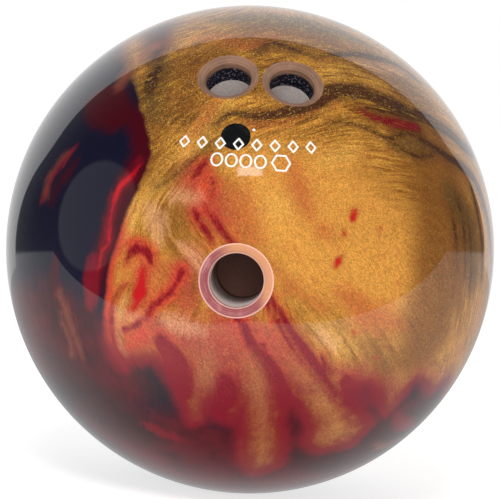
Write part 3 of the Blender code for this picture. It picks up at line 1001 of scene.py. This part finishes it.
pearl = {
    "goldDeep": tone(142, 86, 30), "goldMid": tone(228, 158, 70), "goldPale": tone(220, 156, 66),
    "orange": tone(200, 112, 54), "yellow": tone(224, 172, 52), "brown": tone(92, 54, 26),
    # The shade tone is partly painted shade, down the right side and across the top; the glow tone is partly
    # painted highlight.
    "shade": tone(128, 78, 32), "glow": tone(232, 178, 84), "rust": tone(186, 88, 48),
    "olive": tone(104, 76, 38), "umber": tone(62, 30, 26), "pale": tone(226, 166, 120),
    "blush": tone(178, 68, 56), "ember": tone(202, 66, 46), "crimson": tone(130, 4, 30),
    "scarlet": tone(196, 16, 26), "deepRed": tone(140, 8, 32), "maroon": tone(70, 2, 14),
    "wine": tone(98, 14, 28), "wineDeep": tone(56, 12, 20), "soot": tone(46, 28, 28),
    "navy": tone(18, 17, 40), "tan": tone(176, 108, 66), "tanDeep": tone(132, 50, 42),
    # A painted glint: the cream of a flake catching the light.
    "paintedGlint": tone(255, 222, 130),
    "grainSize": 0.42,          # millimetres between flakes
    "coatRoughness": 0.02, "roughness": 0.42, "metallic": 0.2,
}
drilled = {
    "fingerPale": tone(128, 90, 68), "fingerDeep": tone(98, 64, 44), "lines": tone(218, 184, 162),
    "thumbRose": tone(138, 48, 66), "thumbPeach": tone(204, 136, 92), "thumbPatch": tone(196, 128, 130),
    # The lip tone is a painted highlight along the thumb bevel's edges.
    "thumbLipHighlight": tone(240, 196, 184), "thumbWall": tone(228, 210, 204), "thumbLine": tone(62, 34, 40),
    "band": tone(24, 22, 34), "bandFlake": tone(150, 146, 168),
}

# Soft washes over the gold: softness, wobble, feather and shift of the mask in millimetres, then strength.
washes = {
    # The shade wash is partly painted shade, down the right side and across the top.
    "shade": (9.0, 8.0, 8.0, 0.0, 0.85),
    # The olive wash is partly painted shade, in its band across the top.
    "olive": (5.0, 6.0, 9.0, 0.0, 0.8),
    # The glow wash is partly painted highlight.
    "glow": (6.0, 6.0, 12.0, 0.0, 0.5),
    "rust": (5.5, 6.0, 12.0, 0.0, 0.7),
    "blush": (6.0, 8.0, 12.0, 0.6, 0.85),
    "ember": (3.2, 4.0, 7.0, 0.6, 0.9),
    "pale": (3.0, 4.0, 10.0, 0.2, 0.5),
}


class Swirl:
    # What the cover's layers share: places in millimetres, noises centred on zero, soft masks.
    def __init__(self, g):
        self.graph, self.place, self.flow = g, g.placeInMillimetres(), g.attribute("flow")
        self.x, self.y, self.z = g.split(self.place)
        self.broad = g.noise(self.place, 0.045, 4.0, 0.6) - 0.5
        self.medium = g.noise(self.place, 0.16, 4.0, 0.62, 0.6) - 0.5
        self.fine = g.noise(self.place, 0.7, 3.0, 0.6) - 0.5
        self.stream = self.streaks(0.55, self.medium * 1.1, (0.06, 0.05, 0.06), 1.0, 5.0, 0.66)
        self.thread = self.streaks(1.5, self.medium * 2.4, (0.11, 0.09, 0.1), 1.0, 3.0, 0.6)
        self.grain = self.streaks(1.15, self.fine * 0.5, (0.42, 0.38, 0.42), 2.6, 2.0, 0.6)
        self.flakeRed, self.flakeGreen = g.split(g.cells(self.place, 1.0 / pearl["grainSize"]))[:2]
        # On the far side every edge wanders more, so no drawn outline stays straight.
        self.away = g.ramp(self.y, -6.0, 34.0)
        self.wander = (self.broad * 46.0 + self.medium * 14.0 + self.stream * 10.0) * self.away
        self.low = g.ramp(self.z, -52.0, -22.0, 1.0, 0.0)
        self.blush = g.mix(g.ramp(self.z, -56.0, -24.0, 1.0, 0.0), pearl["blush"], pearl["crimson"])
        self.border = g.attribute("dark")
        softness = self.low * 3.6 + g.ramp(self.z, 64.0, 80.0) * 6.0 + self.away * 1.6 + 1.2
        self.darkMask = self.mask("dark", softness, 2.6, self.low * 6.0 + 1.2)
        self.cut = g.attribute("cut")
        self.radial, self.deep = g.attribute("axisDistance"), g.attribute("holeDepth")
        self.lines = g.noise(g.vector(self.radial * 3.2, self.deep * 3.2, 0.0), 1.0, 2.0, 0.6) - 0.5

    def streaks(self, tight, bend, slow, scale, detail, rough):
        # Noise that changes quickly across the flow and slowly along it.
        where = self.graph.vector(self.flow * tight + bend, self.x * slow[0] + self.z * slow[1],
                                  self.y * slow[2])
        return self.graph.noise(where, scale, detail, rough) - 0.5

    def mask(self, name, softness, wobble, feather, shift=0.0):
        # One inside a group of strokes and zero outside, with an edge that the noises move about.
        edge = self.graph.attribute(name) + self.medium * wobble + self.stream * feather
        edge = edge + self.thread * (feather * 0.5) + shift + self.wander
        return self.graph.ramp(edge, -softness, softness)


def goldLayer(g, s):
    # Pale and deep gold veins, orange clouds and brown furrows, calmer round the middle of the front.
    calm = s.mask("calm", 12.0, 6.0, 6.0)
    lively = 1.0 - calm * 0.65
    veins = s.stream * lively * 1.7 + s.thread * lively * 0.8 + s.broad * 0.9
    colour = g.mix(g.ramp(veins, -0.42, 0.42), pearl["goldDeep"], pearl["goldPale"])
    colour = g.mix(calm * 0.75, colour, pearl["goldMid"])
    clouds = s.medium * 1.2 + s.broad * 0.8 + s.thread * 0.6
    colour = g.mix(g.ramp(clouds, 0.0, 0.35, 0.0, 0.55), colour, pearl["orange"])
    furrows = g.ramp(s.stream + s.medium * 0.7, -0.16, -0.42, 0.0, 0.6) * lively
    colour = g.mix(furrows, colour, pearl["brown"])
    for name, (softness, wobble, feather, shift, strength) in washes.items():
        tint = s.blush if name == "blush" else pearl[name]
        colour = g.mix(s.mask(name, softness, wobble, feather, shift) * strength, colour, tint)
    return colour


def strokeLayer(g, s, colour):
    # Umber veins, then crimson strokes with a softer halo, then the tan fingers low on the ball.
    colour = g.mix(s.mask("umber", 3.2, 4.0, 6.0, 1.8) * 0.5, colour, pearl["brown"])
    colour = g.mix(s.mask("umber", 0.9, 1.6, 3.0) * 0.85, colour, pearl["umber"])
    upperRight = g.ramp(s.x, 20.0, 44.0) * g.ramp(s.z, 10.0, 40.0)
    halo = g.mix(upperRight, g.mix(s.low, pearl["ember"], s.blush), pearl["maroon"])
    colour = g.mix(s.mask("crimson", 3.2, 4.0, 7.0, 2.0) * 0.6, colour, halo)
    colour = g.mix(s.mask("crimson", 1.3, 2.4, 4.5, 0.2) * 0.94, colour, pearl["crimson"])
    return g.mix(s.mask("tan", 4.0, 4.0, 8.0) * s.low * 0.7, colour, pearl["tan"])


def flakeLayer(g, s, colour):
    # High on the ball the gold is richer, with olive furrows, yellow ridges and stronger flakes; a few flakes
    # get a painted glint.
    rich = g.ramp(s.z - s.x * 0.25, 26.0, 62.0)
    furrow = g.ramp(s.stream * 1.2 + s.thread * 1.1 + s.fine * 0.5, -0.02, -0.36) * rich
    colour = g.mix(furrow * 0.72, colour, pearl["olive"])
    ridge = g.ramp(s.stream + s.thread * 1.3, 0.08, 0.34) * rich
    colour = g.mix(ridge * 0.6, colour, pearl["yellow"])
    sparkle = g.ramp(s.flakeRed * 0.7 + s.grain * 1.7, -0.3, 1.0) * 2.0 - 1.0
    sparkle = sparkle * (rich * 0.26 + 0.34) + 1.0
    colour = g.mix(1.0, colour, g.vector(sparkle, sparkle, sparkle), "MULTIPLY")
    paintedGlint = g.ramp(s.flakeGreen, 0.93, 0.99) * g.ramp(g.attribute("crimson"), -6.0, -1.0, 1.0, 0.15)
    return g.mix(paintedGlint * (rich * 0.3 + 0.14), colour, pearl["paintedGlint"])


def darkResin(g, s):
    # Navy with clouds of wine, soot and maroon, and deep red where it thins out low on the ball.
    cloud = g.ramp(s.broad * 1.3 + s.medium * 0.6 + s.stream * 0.35, -0.42, 0.32)
    wine = g.mix(cloud, pearl["wineDeep"], pearl["wine"])
    dark = g.mix(s.mask("wine", 9.0, 12.0, 10.0), pearl["navy"], wine)
    dark = g.mix(s.mask("soot", 6.0, 8.0, 8.0) * 0.6, dark, pearl["soot"])
    dark = g.mix(s.mask("maroon", 3.6, 5.0, 6.0) * 0.92, dark, pearl["maroon"])
    shallow = g.ramp(s.border + s.stream * 6.0 + s.medium * 5.0, 0.0, 7.0, 1.0, 0.0) * s.low
    return g.mix(shallow * 0.75, dark, pearl["deepRed"])


def darkLayer(g, s, colour):
    # The dark resin with a glowing rim where it meets the gold, then the strokes that cross it.
    rim = g.ramp(s.border + s.medium * 2.0 + s.wander, -4.0, 0.0)
    rim = rim * g.ramp(s.z, 8.0, 22.0, 1.0, 0.0).math("MAXIMUM", s.away)
    colour = g.mix(rim * 0.75, colour, g.mix(s.low, pearl["ember"], pearl["crimson"]))
    edgeGlow = g.ramp(s.border + s.stream * 14.0 + s.medium * 10.0, -13.0, -0.5) * s.low
    colour = g.mix(edgeGlow * 0.82, colour, g.mix(0.35, s.blush, pearl["crimson"]))
    colour = g.mix(s.darkMask, colour, darkResin(g, s))
    tanTone = g.mix(g.ramp(s.stream + s.thread, -0.25, 0.25), pearl["tan"], pearl["tanDeep"])
    colour = g.mix(s.mask("tan", 4.2, 5.0, 10.0, -0.4) * s.darkMask * 0.8, colour, tanTone)
    colour = g.mix(s.mask("crimson", 2.4, 4.0, 6.0, -0.2) * s.darkMask * 0.75, colour, pearl["crimson"])
    colour = g.mix(s.mask("scarlet", 2.2, 1.6, 2.6, 0.6) * 0.4, colour, pearl["crimson"])
    return g.mix(s.mask("scarlet", 0.9, 1.4, 2.0) * 0.92, colour, pearl["scarlet"])


def thumbBevel(g, s, patchy):
    # Rose on the lower left to peach on the upper right, with a painted highlight as a thin pale line along
    # each lip.
    lit = g.ramp(s.x * 0.07 + s.z * 0.07 + 0.3 + patchy * 1.2, -0.4, 0.7)
    colour = g.mix(lit, drilled["thumbRose"], drilled["thumbPeach"])
    patches = g.ramp(patchy + s.lines * 0.3, 0.0, 0.22) * (1.0 - lit * 0.7) * 0.6
    colour = g.mix(patches, colour, drilled["thumbPatch"])
    # Painted highlights: thin pale lines along the bevel's outer and inner edges.
    outerLip = g.ramp(s.radial, thumb["rim"] - 0.8, thumb["rim"] - 0.25)
    innerLip = g.ramp(s.radial, thumb["radius"] + 0.3, thumb["radius"] + 0.8, 1.0, 0.0)
    lipHighlight = outerLip.math("MAXIMUM", innerLip * g.ramp(s.deep, 5.0, 4.0))
    return g.mix(lipHighlight * 0.6, colour, drilled["thumbLipHighlight"])


def drilledLayer(g, s):
    # Bare resin with fine turned lines. The thumb's wall is pale behind one thin dark line; the fingers'
    # wall has the deep navy band.
    forThumb = g.attribute("thumbShare")
    patchy = g.noise(s.place, 0.11, 3.0, 0.6) - 0.5
    fingerBevel = g.mix(g.ramp(patchy, -0.2, 0.2), drilled["fingerPale"], drilled["fingerDeep"])
    bare = g.mix(forThumb, fingerBevel, thumbBevel(g, s, patchy))
    bare = g.mix(g.ramp(s.lines, -0.25, 0.3, 0.0, 0.34), bare, drilled["lines"])
    navyFlakes = g.mix(g.ramp(s.flakeGreen, 0.86, 0.97), drilled["band"], drilled["bandFlake"])
    fingerWall = g.mix(g.ramp(s.deep + patchy * 1.2, 3.7, 4.7), bare, navyFlakes)
    darkLine = g.ramp(s.deep + patchy * 0.3, 2.6, 3.0) * g.ramp(s.deep, 4.4, 5.0, 1.0, 0.0)
    thumbWall = g.mix(g.ramp(s.deep, 4.4, 5.0), bare, drilled["thumbWall"])
    thumbWall = g.mix(darkLine, thumbWall, drilled["thumbLine"])
    return g.mix(forThumb, fingerWall, thumbWall)


def pearlMaterial():
    material, g = newMaterial("pearl cover")
    s = Swirl(g)
    colour = goldLayer(g, s)
    for layer in (strokeLayer, flakeLayer, darkLayer):
        colour = layer(g, s, colour)
    colour = g.mix(s.cut, colour, drilledLayer(g, s))
    polished = 1.0 - s.cut
    height = (s.flakeRed * 0.5 + s.grain) * polished + s.lines * s.cut * 1.5
    finishMaterial(g, {
        "Base Color": colour, "Roughness": s.cut * 0.22 + pearl["roughness"],
        "Metallic": polished * pearl["metallic"] * (1.0 - s.darkMask * 0.6),
        "Normal": g.bump(0.35, 0.00006, height),
        "Coat Weight": polished, "Coat Roughness": pearl["coatRoughness"], "Coat IOR": 1.54,
        "IOR": 1.45, "Specular IOR Level": 0.2})
    return material


# The filler's brown tone is painted shade inside the thumb hole.
fillerTones = {"light": tone(244, 234, 230), "shade": tone(220, 206, 200), "stain": tone(150, 118, 104),
               "wearAndShade": tone(124, 74, 58)}
blockTones = {"light": tone(74, 50, 44), "dark": tone(40, 26, 24)}
pinTones = {"body": tone(17, 19, 20), "cloud": tone(34, 36, 36)}
paintTones = {"body": tone(243, 240, 232), "wearAndShade": tone(214, 206, 192)}


def fillerMaterial():
    material, g = newMaterial("white filler")
    place = g.placeInMillimetres()
    speckle = g.noise(place, 1.4, 4.0, 0.7)
    cloud = g.noise(place, 0.09, 3.0, 0.6)
    turning = g.noise(g.vectorMath("MULTIPLY", place, (0.15, 1.1, 0.15)), 1.6, 3.0, 0.6)
    colour = g.mix(g.ramp(speckle, 0.35, 0.7), fillerTones["light"], fillerTones["shade"])
    colour = g.mix(g.ramp(cloud, 0.55, 0.8, 0.0, 0.35), colour, fillerTones["stain"])
    # Painted shade: the thumb hole is painted brown on its upper side, past its first few millimetres, and
    # near its floor, where shade falls.
    x, y, z = g.split(place)
    upper = g.ramp(z + cloud * 6.0, -11.0, -1.0).math("MAXIMUM", g.ramp(y, -62.0, -50.0))
    wearAndShade = upper * g.ramp(z, 6.0, 9.0, 1.0, 0.0) * g.ramp(y, -97.0, -88.0)
    colour = g.mix(wearAndShade * g.ramp(y, -40.0, -30.0, 1.0, 0.0) * 0.92, colour, fillerTones["wearAndShade"])
    finishMaterial(g, {"Base Color": colour, "Roughness": g.ramp(speckle, 0.3, 0.7, 0.62, 0.85),
                       "Normal": g.bump(0.4, 0.0002, turning + speckle * 0.3)})
    return material


def blockMaterial():
    material, g = newMaterial("weight block")
    speckle = g.noise(g.place(), 900.0, 4.0, 0.7)
    colour = g.mix(g.ramp(speckle, 0.35, 0.65), blockTones["dark"], blockTones["light"])
    finishMaterial(g, {"Base Color": colour, "Roughness": g.ramp(speckle, 0.3, 0.7, 0.6, 0.85),
                       "Normal": g.bump(0.3, 0.0002, speckle)})
    return material


def pinMaterial():
    material, g = newMaterial("black pin")
    cloud = g.noise(g.place(), 260.0, 4.0, 0.65)
    wear = g.noise(g.place(), 2400.0, 2.0, 0.6)
    colour = g.mix(g.ramp(cloud, 0.45, 0.75), pinTones["body"], pinTones["cloud"])
    finishMaterial(g, {"Base Color": colour, "Roughness": g.ramp(wear, 0.3, 0.7, 0.03, 0.1),
                       "Normal": g.bump(0.08, 0.00005, wear), "IOR": 1.5})
    return material


def paintMaterial():
    material, g = newMaterial("white paint")
    # On the paint these blotches are real wear only.
    wearAndShade = g.noise(g.place(), 700.0, 4.0, 0.7)
    pits = g.noise(g.place(), 2600.0, 2.0, 0.6)
    colour = g.mix(g.ramp(wearAndShade, 0.5, 0.78, 0.0, 0.8), paintTones["body"], paintTones["wearAndShade"])
    finishMaterial(g, {"Base Color": colour, "Roughness": g.ramp(pits, 0.3, 0.7, 0.45, 0.7),
                       "Normal": g.bump(0.5, 0.0001, wearAndShade + pits * 0.4)})
    return material


def dress(piece, material, nodes):
    # Gives a piece its material, hangs it under the root body and hides the CAD nodes it stands in for.
    piece.data.materials.clear()
    piece.data.materials.append(material)
    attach(piece, "root")
    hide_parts(*nodes)


print("making the materials")
whitePaint = paintMaterial()
dress(cover, pearlMaterial(), ["coverstock"])
dress(core, fillerMaterial(), ["outer_core"])
dress(locator, pinMaterial(), ["locator_pin"])
for paint, name in paints:
    dress(paint, whitePaint, [name])
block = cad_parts["weight_block"]
block.data.materials.clear()
block.data.materials.append(blockMaterial())
block.data.shade_smooth()


camera = {"azimuth": 2.3, "elevation": 3.76, "roll": 6.0, "distance": 1.3, "focal": 209.9}
back = Vector(outward(camera["azimuth"], camera["elevation"]))
roll = Matrix.Rotation(math.radians(camera["roll"]), 3, back)
right = roll @ Vector((0.0, 0.0, 1.0)).cross(back).normalized()
upward = back.cross(right).normalized()
lens = bpy.data.cameras.new("camera")
lens.lens, lens.sensor_width = camera["focal"], 36.0
lens.clip_start, lens.clip_end = 0.05, 50.0
viewer = bpy.data.objects.new("camera", lens)
basis = Matrix((right, upward, back)).transposed().to_4x4()
viewer.matrix_world = Matrix.Translation(back * camera["distance"]) @ basis
bpy.context.scene.collection.objects.link(viewer)
bpy.context.scene.camera = viewer

studio = {
    "backdrop": 0.85, "tableFront": 0.85, "tableBehind": 0.5, "tableShade": 0.94, "softbox": 6.0,
    "side": 0.32, "room": 0.012,
    "archWide": 0.75, "archFlare": 0.45, "archTop": 2.0, "archFoot": -0.05,
    "tableEdge": 1.55, "tableSlant": 0.258,
    "boxLift": 36.0, "boxHalf": (5.5, 2.2),
    "diffuse": 0.44, "white": 1.0,
    "panelDistance": 1.6, "panelSize": 0.5,
    "panels": ((34.0, 11.0), (4.0, 4.5), (-26.0, 6.0)),      # lift above the camera's axis, power
}


def studioWorld():
    world = bpy.data.worlds.new("studio")
    world.use_nodes = True
    bpy.context.scene.world = world
    world.cycles.sampling_method = "NONE"
    g = Graph(world.node_tree)
    way = g.add("ShaderNodeTexCoord", {}, {}, "Generated")
    x = g.vectorMath("DOT_PRODUCT", way, tuple(right), "Value")
    y = g.vectorMath("DOT_PRODUCT", way, tuple(upward), "Value")
    z = g.vectorMath("DOT_PRODUCT", way, tuple(back), "Value")
    # Backdrop seen behind the ball: a tall arch on a plane behind it.
    behind = g.ramp(z, -0.02, 0.0, 1.0, 0.0)
    depth = (-z).math("MAXIMUM", 0.001)
    u, v = x.math("ABSOLUTE") / depth, y / depth
    half = g.ramp(v, 0.0, 0.7, studio["archWide"], studio["archWide"] + studio["archFlare"])
    shape = (u / half).math("POWER", 3.0) + (v.math("MAXIMUM", 0.0) / studio["archTop"]).math("POWER", 3.0)
    arch = behind * g.ramp(shape, 0.97, 1.03, 1.0, 0.0)
    arch = arch * g.ramp(v, studio["archFoot"] - 0.02, studio["archFoot"])
    # White table top below, ending at a front edge that slants back on both sides.
    below = (-y).math("MAXIMUM", 0.001)
    edge = z / below + x.math("ABSOLUTE") / below * studio["tableSlant"]
    table = g.ramp(edge, studio["tableEdge"] - 0.03, studio["tableEdge"] + 0.03, 1.0, 0.0)
    table = table * g.ramp(y, -0.02, 0.0, 1.0, 0.0)
    # Small softbox above the camera.
    lift, wide = math.radians(studio["boxLift"]), [math.radians(a) for a in studio["boxHalf"]]
    tall = y * math.cos(lift) - z * math.sin(lift)
    front = y * math.sin(lift) + z * math.cos(lift)
    box = g.ramp(x.math("ABSOLUTE"), wide[0] * 0.8, wide[0] * 1.15, 1.0, 0.0) \
        * g.ramp(tall.math("ABSOLUTE"), wide[1] * 0.7, wide[1] * 1.25, 1.0, 0.0) * g.ramp(front, 0.0, 0.1)
    # Faint oval reflector on the left.
    sideX, sideY = z - 0.18, y - 0.2
    oval = g.ramp((sideX * sideX) / 0.145 + (sideY * sideY) / 0.11, 0.9, 1.1, 1.0, 0.0)
    oval = oval * g.ramp(x, -0.3, -0.2, 1.0, 0.0)
    # The ball's own shadow darkens the table straight under it.
    reach = (x * x + z * z) / (below * below)
    shadow = 1.0 - (reach * -1.5).math("EXPONENT") * studio["tableShade"]
    tableLight = g.ramp(z, -0.3, 0.3, studio["tableBehind"], studio["tableFront"]) * shadow
    light = arch * studio["backdrop"]
    light = light.math("MAXIMUM", table * tableLight)
    light = light.math("MAXIMUM", oval * studio["side"]) + box * studio["softbox"] + studio["room"]
    isCamera = g.add("ShaderNodeLightPath", {}, {}, "Is Camera Ray")
    isGlossy = g.add("ShaderNodeLightPath", {}, {}, "Is Glossy Ray")
    lighting = isGlossy * light + (1.0 - isGlossy) * studio["diffuse"]
    seen = isCamera * studio["white"] + (1.0 - isCamera) * lighting
    shader = g.add("ShaderNodeBackground", {}, {"Color": (1.0, 1.0, 1.0, 1.0), "Strength": seen})
    g.add("ShaderNodeOutputWorld", {}, {"Surface": shader})


def panelLight(lift, power):
    # The studio's share of the matte light: a square panel near the camera, unseen in reflections.
    panel = bpy.data.lights.new("panel", "AREA")
    panel.shape, panel.size, panel.energy = "SQUARE", studio["panelSize"], power
    holder = bpy.data.objects.new("panel", panel)
    angle = math.radians(lift)
    toward = (back * math.cos(angle) + upward * math.sin(angle)).normalized()
    holder.location = toward * studio["panelDistance"]
    holder.rotation_mode = "QUATERNION"
    holder.rotation_quaternion = toward.to_track_quat("Z", "Y")
    holder.visible_glossy = False
    holder.visible_camera = False
    bpy.context.scene.collection.objects.link(holder)


print("lighting the scene")
studioWorld()
for panelLift, panelPower in studio["panels"]:
    panelLight(panelLift, panelPower)
scene = bpy.context.scene
scene.view_settings.view_transform = "Standard"
scene.view_settings.look = "None"

ground = {"size": 60.0, "light": tone(219, 219, 219), "shade": tone(216, 216, 216), "glow": 0.70}


def studioFloor():
    # A wide white floor under the ball, lit a little from within so that it fades into the backdrop.
    far = ground["size"]
    mesh = bpy.data.meshes.new("floor")
    mesh.from_pydata([(-far, -far, 0), (far, -far, 0), (far, far, 0), (-far, far, 0)], [], [(0, 1, 2, 3)])
    floor = bpy.data.objects.new("floor", mesh)
    floor.location = (0, 0, -ball["radius"] * metres)
    floor.visible_glossy = False
    scene.collection.objects.link(floor)
    material, g = newMaterial("floor")
    cloud = g.ramp(g.noise(g.place(), 3.0, 2.0, 0.5), 0.3, 0.7)
    finishMaterial(g, {"Base Color": g.mix(cloud, ground["shade"], ground["light"]),
                       "Roughness": 0.9, "Specular IOR Level": 0.0,
                       "Emission Color": (1.0, 1.0, 1.0, 1.0), "Emission Strength": ground["glow"]})
    mesh.materials.append(material)
    floor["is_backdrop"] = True


studioFloor()
low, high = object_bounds()
{"cad": [list(cadLow), list(cadHigh)], "visual": [list(low), list(high)]}
print("size", [round(v, 4) for v in (high - low)])
